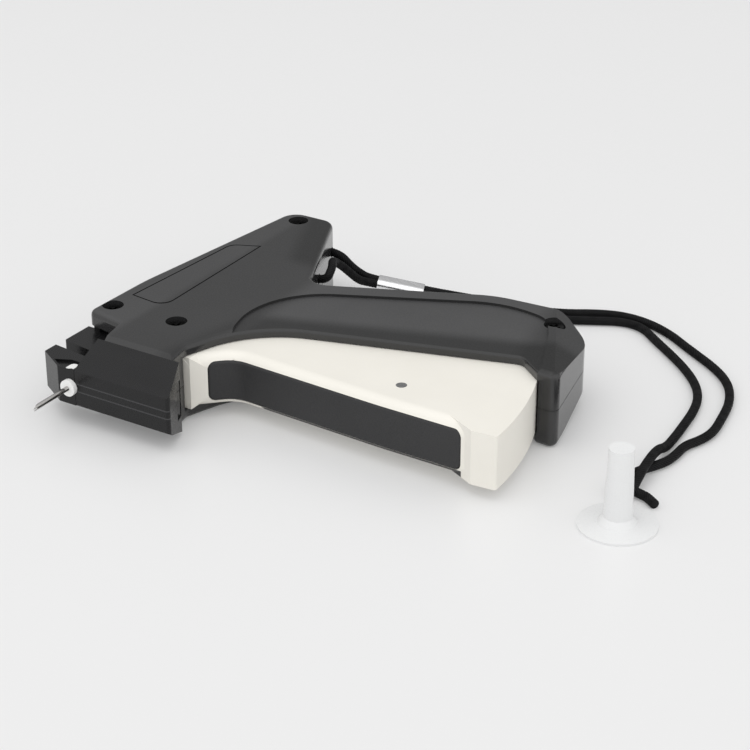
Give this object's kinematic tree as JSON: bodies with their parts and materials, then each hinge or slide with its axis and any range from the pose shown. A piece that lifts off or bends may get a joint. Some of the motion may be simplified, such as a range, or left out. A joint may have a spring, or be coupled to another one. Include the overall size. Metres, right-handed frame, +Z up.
{
  "type": "garment tag attacher",
  "caption": "Pistol-shaped garment tag attacher with squeeze trigger, hollow needle, clip slot, cord wrist strap and needle cap, lying on its side",
  "frame": {"origin": "Middle of the floor below the tool and its cap: the tool lies on its flat side, on the plane z = 0", "axes": "The needle points to -X and the tail to +X, +Y runs from the handle's end up to the barrel, and +Z is up, along the tool's thickness"},
  "size_m": [0.1802, 0.2002, 0.026],
  "materials": {
    "housing": "fine-grained dark grey ABS",
    "nose_plastic": "semi-gloss black",
    "trigger_plastic": "cream, satin",
    "grip_rubber": "matt",
    "screw_steel": "zinc plated",
    "needle_steel": "satin",
    "hub_plastic": "satin",
    "pin_steel": "ground",
    "inner_plastic": "natural acetal",
    "cap_plastic": "milky, slightly see-through",
    "strap_cord": "braided",
    "sleeve_metal": "bright, rolled"
  },
  "bodies": {
    "housing": {"upper_housing": "housing", "lower_housing": "housing", "body_screws": "screw_steel", "nose_cover": "nose_plastic", "needle_holder": "nose_plastic", "clip_guide": "nose_plastic", "needle": "needle_steel", "needle_hub": "hub_plastic", "trigger_pin": "pin_steel", "lever_bracket": "pin_steel", "lever_pin": "pin_steel", "feed_axle": "pin_steel", "pawl_pin": "pin_steel", "strap_inside": "strap_cord", "strap_strand_near": "strap_cord", "strap_strand_far": "strap_cord", "strap_tail": "strap_cord", "strap_sleeve": "sleeve_metal", "strap_knot": "strap_cord"},
    "trigger": {"trigger": "trigger_plastic", "trigger_pad": "grip_rubber", "link_pin": "pin_steel"},
    "lever": {"drive_lever": "inner_plastic", "return_spring": "pin_steel"},
    "slider": {"push_slider": "inner_plastic", "push_rod": "pin_steel"},
    "feed_wheel": {"feed_wheel": "inner_plastic"},
    "feed_pawl": {"feed_pawl": "inner_plastic"},
    "needle_cap": {"needle_cap": "cap_plastic"}
  },
  "joints": [
    {"name": "trigger_squeeze", "type": "hinge", "parent": "housing", "child": "trigger", "pos_m": [-0.03025, 0.0609, 0.013], "axis": [0, 0, 1], "range_deg": [0, 13], "stiffness_Nm_per_rad": 0.8, "springref_deg": -5.73},
    {"name": "lever_swing", "type": "hinge", "parent": "housing", "child": "lever", "pos_m": [0.00175, 0.0189, 0.013], "axis": [0, 0, 1], "range_deg": [0, 27.2]},
    {"name": "slider_travel", "type": "slide", "parent": "housing", "child": "slider", "axis": [-1, 0, 0], "range_m": [0, 0.0307]},
    {"name": "wheel_turn", "type": "hinge", "parent": "housing", "child": "feed_wheel", "pos_m": [-0.04935, 0.0697, 0.013], "axis": [0, 0, 1], "continuous": true},
    {"name": "pawl_lift", "type": "hinge", "parent": "housing", "child": "feed_pawl", "pos_m": [-0.05245, 0.0629, 0.013], "axis": [0, 0, -1], "range_deg": [0, 16], "stiffness_Nm_per_rad": 0.0004, "springref_deg": -11.46},
    {"name": "cap_lift", "type": "slide", "parent": "housing", "child": "needle_cap", "axis": [0, 0, 1], "range_m": [0, 0.03]}
  ],
  "couplings": [
    {"joint": "lever_swing", "follows": "trigger_squeeze", "ratio": 2.0846},
    {"joint": "slider_travel", "follows": "trigger_squeeze", "m_per_rad": 0.13465}
  ]
}
